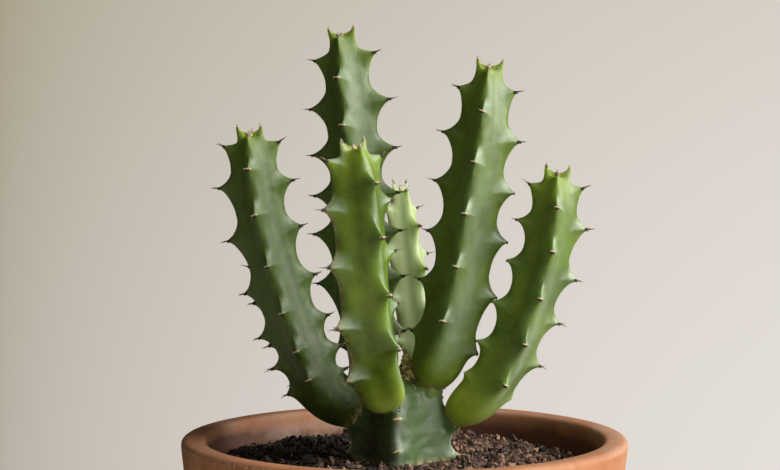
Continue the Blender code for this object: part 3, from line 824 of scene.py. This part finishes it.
def soil_height(x, y):
    """The top of the soil from its mean level, as the solid has it."""
    near_trunk = (x * x + y * y) / 32 ** 2
    lumps = np.sin(x * 0.21 + 1.3) * np.cos(y * 0.19 - 0.7)
    lumps = lumps + 0.6 * np.sin(x * 0.43 - y * 0.37 + 2.1) + 0.45 * np.cos(x * 0.61 + y * 0.53)
    dip = 2.6 * np.maximum(x / 30 - 1, 0)
    return lumps * 0.66 * np.minimum(near_trunk, 1) + 1.2 * np.exp(-near_trunk) - dip


def dry_soil(x, y):
    """The dry patch before the trunk, from 0 to 1."""
    return bell(x, -19, 8) * bell(y, -21, 13)


def painted_soil_shade(x, y):
    """Painted shade of the plant on the soil, from 0 to 1: most at the left."""
    return 0.6 * clamp((-8 - x) / 24) * (1 - dry_soil(x, y))


def crumb_shapes(random, kinds, detail=2):
    """A few rough little lumps to scatter: points and faces each."""
    shapes = []
    for kind in range(kinds):
        bm = bmesh.new()
        bmesh.ops.create_icosphere(bm, subdivisions=detail, radius=1)
        stretch = random.uniform(0.45, 1.2, 3)
        shift = Vector((kind * 5.1, 0, 0))
        for vert in bm.verts:
            rough = 1 + 0.8 * noise.noise(vert.co * 1.4 + shift) + 0.5 * noise.noise(vert.co * 3.7)
            vert.co = np.array(vert.co) * stretch * rough
        points = np.array([vert.co[:] for vert in bm.verts])
        faces = [tuple(vert.index for vert in face.verts) for face in bm.faces]
        bm.free()
        shapes.append((points, faces))
    return shapes


def turned(points, size, random):
    """Points of a lump at a size, turned at random."""
    first, second = (Matrix.Rotation(random.uniform(0, 6.28), 3, way) for way in "XZ")
    return (points * size) @ np.array(first @ second).T


def soil_bumps(random, edge, x, y):
    """How far half-buried crumbs raise the soil at places."""
    seeds = random.uniform(-edge, edge, (BURIED_CRUMBS, 2))
    size = random.uniform(0.4, 1.6, len(seeds))
    tree = kdtree.KDTree(len(seeds))
    for i, (a, b) in enumerate(seeds):
        tree.insert((a, b, 0), i)
    tree.balance()
    bumps = []
    for a, b in zip(x, y):
        near = [(size[i], away) for _, i, away in tree.find_n((a, b, 0), 3) if away < size[i]]
        bumps.append(max([0.85 * r * sqrt(1 - (away / r) ** 2) - 0.3 for r, away in near] + [0]))
    return np.array(bumps)


def make_soil(material):
    random = np.random.default_rng(21)
    edge = pot_outside(SOIL_LEVEL - 4) - WALL - 0.5
    out = circle(SOIL_COLUMNS)
    x, y = (edge * np.linspace(0.1, 1, SOIL_ROWS)[:, None, None] * out).reshape(-1, 3).T[:2]
    height = SOIL_LEVEL + soil_height(x, y) + soil_bumps(random, edge, x, y) * 0.7
    height += relief(np.stack((x, y, 0 * x), -1), (6, 8.0, 3, 0.6), (1.4, 9.0, 4, 0.5))
    rings = list(np.stack((x, y, height), -1).reshape(SOIL_ROWS, SOIL_COLUMNS, 3))
    for radius, level in ((edge - 0.3, SOIL_LEVEL - 8), (54.0, SOIL_BOTTOM + 4), (51.0, SOIL_BOTTOM)):
        rings.append(radius * out + UP * level)
    points, faces = tube(rings, UP * SOIL_BOTTOM, UP * (SOIL_LEVEL + 1))
    x, y, _ = points.T
    skin = Skin()
    # painted light and shade: the soil's face browner toward the lit right, and dark on the left for the
    # plant's shadow
    skin.add(points, faces, tone=0.22 * clamp((x + 15) / 30), cork=painted_soil_shade(x, y))
    add_crumbs(skin, random, edge)
    soil = skin.object("soil_bed", [material])
    soil.data.polygons.foreach_set("use_smooth", np.arange(len(soil.data.polygons)) < len(faces))
    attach(soil, "root")
    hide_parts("soil")


def add_crumbs(skin, random, edge):
    """Loose crumbs, splinters and a tuft of fibres on the soil."""
    draw = random.uniform
    fine, coarse = crumb_shapes(random, 12, 1), crumb_shapes(random, 14, 2)
    for i in range(CRUMBS):
        angle, share = draw(0, TURN), sqrt(draw(0.05, 1))
        small = i >= COARSE_CRUMBS
        size = draw(0.3, 0.75) if small else 0.7 + draw(0, 1) ** 2.2
        away = (edge - size - 0.6) * share
        x, y = away * cos(angle), away * sin(angle)
        if hypot(x - TRUNK_X, y) < TRUNK_ROOM:
            continue
        shapes = fine if small else coarse
        points, faces = shapes[random.integers(len(shapes))]
        place = np.array((x, y, SOIL_LEVEL + soil_height(x, y) + draw(0.1, 0.9) + size * 0.3))
        dry = dry_soil(x, y)
        # painted light: crumbs paler toward the lit right
        pale = min(1.25 * draw(0, 1) ** 2.6, 1) * max(0.12 + 0.88 * clamp((x + 20) / 40), 1.4 * dry)
        salty = max((draw(0, 1) > 0.97) * 0.6, min(dry * pale, 1) * 0.9)
        skin.add(place + turned(points, size, random), faces, tone=pale, bloom=salty, cork=painted_soil_shade(x, y))
    for _ in range(CHIPS):
        add_chip(skin, random, edge)
    for lean in FIBRE_LEANS:
        place = np.array((42 + 3 * lean, -2 + 2 * lean, SOIL_LEVEL + soil_height(42, -2)))
        needle(skin, place, (lean, 0.2 - lean * 0.5, 1), 4.5 - 2 * abs(lean), 0.28, UP, 0, 0.9, 0.4, 5)


def add_chip(skin, random, edge):
    """A flat splinter of bark or fibre."""
    draw = random.uniform
    angle, share = draw(0, TURN), sqrt(draw(0.1, 0.9))
    x, y = edge * share * cos(angle), edge * share * sin(angle)
    if hypot(x - TRUNK_X, y) < TRUNK_ROOM + 3:
        return
    length, width, thick = draw(2, 5), draw(0.3, 0.9), draw(0.15, 0.35)
    turn, tilt = draw(0, pi), draw(-0.4, 0.4)
    ahead = np.array((cos(turn) * cos(tilt), sin(turn) * cos(tilt), sin(tilt)))
    side = unit(np.cross(ahead, UP))
    up = np.cross(side, ahead)
    middle = np.array((x, y, SOIL_LEVEL + soil_height(x, y) + 1.0))
    outline = np.array([side * a * width + up * b * thick for a, b in CHIP_OUTLINE])
    rings = [middle + ahead * place * length + up * 0.15 * sin(place * 5) + outline * size / 2
             for place, size in CHIP_STATIONS]
    skin.add(*tube(rings), tone=draw(0.2, 1), bloom=draw(0, 0.5))


# Trunk. Heights are measured from the rim. Its teeth are those of a front and of a side rib, and its crest is
# given as heights and radii.

TRUNK_TURN = -4
TRUNK_BURIED, TRUNK_TOP = -24, 19.2
TRUNK_TEETH = (8.5, -1.3), (16, 3.2, -4.6)
TRUNK_CREST = (TRUNK_BURIED, -6, 3, 9, 15.5, 17.2, 18.6), (15.7, 15.7, 15.4, 13.9, 11.8, 9, 5.2)
TRUNK_TOOTH = 2.0
TRUNK_VOXEL = 0.42
CALLUS_COLUMNS = 28
CALLUS_RINGS = ((7.2, 1.15), (4, 1.12), (1.8, 1.14), (0.9, 1.16), (0.35, 1.12), (0.05, 1.0))
SEAM_CRUMBS = 90
REMAINS = 110
REMAINS_X, REMAINS_Y = 0.6, -0.5
REMAINS_CORE = ((0, 2.6), (1.6, 2.2), (3.2, 1.8), (4.8, 1.4), (6.0, 1.1))


def trunk_teeth():
    """For each tooth of the trunk, the way it looks, its place on the trunk's middle line and its reach."""
    for rib in range(RIBS):
        turn = radians(90 * rib + TRUNK_TURN)
        out = np.array((sin(turn), -cos(turn), 0.0))
        for level in TRUNK_TEETH[rib % 2]:
            yield out, np.array((TRUNK_X, 0.0, level)), np.interp(level, *TRUNK_CREST) + TRUNK_TOOTH


def trunk_shell():
    """Points and faces of the trunk before it is melted with its calluses."""
    heights = np.concatenate((np.arange(TRUNK_BURIED, 15, 0.5), np.linspace(15, 18.6, 14)))[:, None]
    crest = np.interp(heights, *TRUNK_CREST)
    angles = angle_list()
    share = np.zeros((len(heights), len(angles)))
    for rib in range(RIBS):
        offset = np.abs((angles - rib * 90 + 180) % 360 - 180)[None, :]
        for level in TRUNK_TEETH[rib % 2]:
            tooth = tooth_shape(-heights, offset, -level, 11, 9, 22)
            share = np.maximum(share, tooth * (heights > -6.3))
    face = crest * 0.72
    radius = face + (crest - face) * rib_crest(angles) ** 1.5 + TRUNK_TOOTH * share
    turn = np.radians(angles + TRUNK_TURN)
    out = np.stack((np.sin(turn), -np.cos(turn), 0 * turn), -1)
    points = np.array((TRUNK_X, 0.0, 0.0)) + out * radius[..., None] + UP * heights[..., None]
    bulge = relief(points.reshape(-1, 3), (7, 4.0, 3, 0.3), (2.2, 6.0, 2, 0.08)).reshape(share.shape)
    points = points + out * (bulge * (heights > -7))[..., None]
    return tube(points, (TRUNK_X, 0, TRUNK_TOP), (TRUNK_X, 0, TRUNK_BURIED))


def make_trunk(materials, grown):
    random = np.random.default_rng(31)
    points, faces = trunk_shell()
    skin = Skin()
    skin.add(points + RIM, faces)
    for stem in STEMS:
        add_callus(skin, stem)
    body = skin.object("grown_trunk", materials)
    melt(body)
    colour_trunk(body.data)
    trims = Skin()
    add_trunk_trims(trims, random)
    for stem, made in zip(STEMS, grown):
        add_seam(trims, body, stem, made, random)
    join(body, trims.object("trunk_trims", materials))
    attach(body, "root")
    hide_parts("trunk")


def add_callus(skin, stem):
    """The stub and the swollen rim that a stem stands in."""
    axis = Axis(stem.route)
    neck = axis.at(axis.length)
    along = axis.axes(axis.length)[0]
    side = unit(np.cross(along, (0.3, 1.0, 0.2)))
    turn = turns(CALLUS_COLUMNS)
    wave = 1 + 0.06 * np.sin(turn * 3 + stem.seed) + 0.05 * np.sin(turn * 7 + stem.seed * 2)
    ring = circle(CALLUS_COLUMNS, side, np.cross(side, along))
    rings = [neck - along * back + ring * (stem.neck * share * wave)[:, None] for back, share in CALLUS_RINGS]
    points, faces = tube(rings, neck - along * 0.02, neck - along * 7.2)
    skin.add(points + RIM, faces)


def add_seam(skin, trunk, stem, grown, random):
    """A corky line on a stem's foot where it meets the trunk, and dry crumbs on the trunk round it."""
    draw = random.uniform
    tree = BVHTree.FromPolygons([vert.co for vert in trunk.data.vertices],
                                [face.vertices for face in trunk.data.polygons])
    cork = grown.data.attributes["cork"].data
    axis = Axis(stem.route)
    foot = RIM + axis.at(axis.length)
    neck = Vector(foot) * MM
    spots = []
    for vert in grown.data.vertices:
        if abs(vert.co.z / MM - POT_HEIGHT - 10) > 16:
            continue
        corky = cork[vert.index]
        if (vert.co - neck).length < 14 * MM:
            corky.value = max(corky.value, 0.85 * clamp((-vert.normal.z - 0.9) / 0.08))
        place, _, _, away = tree.find_nearest(vert.co, 2.4 * MM)
        if place is None:
            continue
        corky.value = max(corky.value, 0.8 * bell(away / MM, 0, 0.9))
        if away < 0.22 * MM and draw(0, 1) < 0.5:
            spots.append(place)
    _, ahead, right = axis.axes(axis.length)
    _, valley, face = stem_radii(stem, axis, axis.length - 1)
    for turn in draw(0, TURN, SEAM_CRUMBS):
        ring = (valley + face) / 2 + draw(0.1, 0.9)
        spot = foot + swing(ahead, right, turn) * ring
        spots.append(tree.find_nearest(Vector(spot * MM), 3.5 * MM)[0])
    shapes = crumb_shapes(random, 4, 1)
    for place in spots:
        if place is not None:
            points, faces = shapes[random.integers(len(shapes))]
            size = draw(0.18, 0.42)
            skin.add(np.array(place) / MM + turned(points, size, random), faces, CUSHION,
                     young=draw(0, 0.6), tone=draw(0.2, 1))


def melt(body):
    """Melts the shells of the trunk into one skin."""
    voxels = body.modifiers.new("melt", "REMESH")
    voxels.mode = "VOXEL"
    voxels.voxel_size = TRUNK_VOXEL * MM
    voxels.use_smooth_shade = True
    smooth = body.modifiers.new("soften", "SMOOTH")
    smooth.factor = 0.5
    smooth.iterations = 2
    bpy.context.view_layer.update()
    graph = bpy.context.evaluated_depsgraph_get()
    mesh = bpy.data.meshes.new_from_object(body.evaluated_get(graph))
    body.modifiers.clear()
    old = body.data
    body.data = mesh
    bpy.data.meshes.remove(old)


def colour_trunk(mesh):
    """Names the places of the trunk: corky teeth, dried top and buried foot, a painted highlight along the
    crests, young rims under the stems, and painted shade on the left face."""
    points = np.array([vert.co[:] for vert in mesh.vertices]) / MM - RIM
    fresh = np.zeros(len(points))
    for stem in STEMS:
        axis = Axis(stem.route)
        away = np.linalg.norm(points - axis.at(axis.length), axis=1)
        fresh = np.maximum(fresh, bell(np.maximum(away - stem.neck, 0), 0, 1.2))
    x, y, height = points.T
    cork = np.maximum(clamp((height - 18.2) / 1.2), 0.8 * clamp((-4.5 - height) / 2.5))
    for out, middle, reach in trunk_teeth():
        away = np.linalg.norm(points - middle - out * reach, axis=1)
        cork = np.maximum(cork, bell(away, 0, 1.3))
    around = np.degrees(np.arctan2(x - TRUNK_X, -y)) - TRUNK_TURN
    # painted highlight along the rib crests
    crest = bell((around + 45) % 90 - 45, 0, 5) * (height < 16)
    # tone lays painted shade on the left face
    set_values(mesh, {"bloom": 0.9 * crest, "young": 0.7 * fresh, "cork": cork, "tone": bell(around, -47, 34)})


def join(body, extra):
    """Moves the faces of one mesh into another, with their materials and named values."""
    both = [body, extra]
    with bpy.context.temp_override(active_object=body, object=body, selected_editable_objects=both,
                                   selected_objects=both):
        bpy.ops.object.join()


def add_trunk_trims(skin, random):
    """Cushions and short spines on the trunk's teeth, and the dried remains on its top."""
    draw = random.uniform
    for out, middle, reach in trunk_teeth():
        tip = RIM + middle + out * (reach - 0.35)
        pad(skin, tip, out, UP, 0.85, CUSHION, 0.9)
        for side in (-1, 1):
            spread = radians(40 + draw(-8, 8)) * side
            direction = swing(out, np.cross(UP, out), spread) - UP * draw(0, 0.3)
            needle(skin, tip, direction, draw(1.6, 2.4), 0.3, UP, CUSHION, 0.9)
    shapes = crumb_shapes(random, 5)
    points, faces = shapes[0]
    for height, size in REMAINS_CORE:
        place = RIM + np.array((REMAINS_X, REMAINS_Y, TRUNK_TOP + height))
        skin.add(place + turned(points, size, random), faces, CUSHION, young=0.9, tone=0.2)
    for _ in range(REMAINS):
        points, faces = shapes[random.integers(len(shapes))]
        place = RIM + np.array((0, 0, TRUNK_TOP + draw(-0.4, 7.0)))
        turn, away = draw(0, TURN), 2.3 - 0.27 * (place[2] - RIM[2] - TRUNK_TOP)
        place += np.array((REMAINS_X + away * cos(turn), REMAINS_Y + away * sin(turn), 0))
        size = draw(0.35, 0.85)
        skin.add(place + turned(points, size, random), faces, CUSHION, young=draw(0, 1), tone=1.0)


# Stage, light and camera

def make_stage():
    mesh = bpy.data.meshes.new("floor")
    mesh.from_pydata(circle(96) * FLOOR_RADIUS, [], [tuple(range(96))])
    t = new_material("floor")
    mesh.materials.append(t.surface(FLOOR_COLOUR, 0.9, None))
    floor = add_object("floor", mesh)


def add_light(name, bearing, rise, away, size, power, tint):
    across, up = radians(bearing), radians(rise)
    lamp = bpy.data.lights.new(name, "AREA")
    lamp.shape = "RECTANGLE"
    lamp.size, lamp.size_y = size
    lamp.energy = power
    lamp.color = tint
    made = add_object(name, lamp)
    way = Vector((sin(across) * cos(up), -cos(across) * cos(up), sin(up)))
    made.location = Vector((0, 0, LIT_HEIGHT)) + way * away
    made.rotation_euler = way.to_track_quat("Z", "Y").to_euler()
    return made


def make_light():
    t = Tree(bpy.data.worlds.new("studio"))
    view = t.node("TexCoord", "Generated", {})
    across, down = (t.math("POWER", t.span(t.node("SeparateXYZ", way, {"Vector": view}), low, high), curve)
                    for way, (low, high, curve) in (("X", BACKDROP_ACROSS), ("Z", BACKDROP_DOWN)))
    backdrop = t.mix(down, t.mix(across, *BACKDROP_LOW), t.mix(across, *BACKDROP_HIGH))
    seen = t.node("LightPath", "Is Camera Ray", {})
    t.fill(t.tree.nodes["Background"], {"Color": t.mix(seen, AMBIENT, backdrop)})
    bpy.context.scene.world = t.owner
    add_light("window", *WINDOW)
    add_light("room", *FILL).visible_glossy = False


def make_camera():
    lens = bpy.data.cameras.new("camera")
    lens.sensor_width = CAMERA_SENSOR
    lens.lens = CAMERA_LENS
    camera = add_object("camera", lens)
    camera.location = CAMERA_PLACE
    camera.rotation_euler = (radians(CAMERA_TILT), 0, 0)
    bpy.context.scene.camera = camera


def main():
    make_camera()
    make_light()
    make_stage()
    bpy.context.scene.view_settings.view_transform = "Standard"
    spines = spine_material()
    greens = (0.045, 0.085, 0.005), (0.150, 0.240, 0.008), (0.048, 0.086, 0.016)
    # the trunk's second colour, near black, is painted shade that tone lays on its left face
    trunk_greens_and_shade = (0.046, 0.085, 0.022), (0.014, 0.014, 0.008), (0.080, 0.135, 0.050)
    waxy = skin_material("waxy_skin", *greens, 0.48, 0.32, 0.42, 1.0)
    green = skin_material("fresh_skin", *greens, 0.42, 0.36, 0.33, 1.0)
    old = skin_material("trunk_skin", *trunk_greens_and_shade, 0.5, 0.12, 0.4, 0.4)
    grown = [make_stem(stem, [green if 0.55 < stem.tone < 1 else waxy, spines]) for stem in STEMS]
    make_trunk([old, spines, cushion_material()], grown)
    make_pot(terracotta_material())
    make_soil(soil_material())


main()
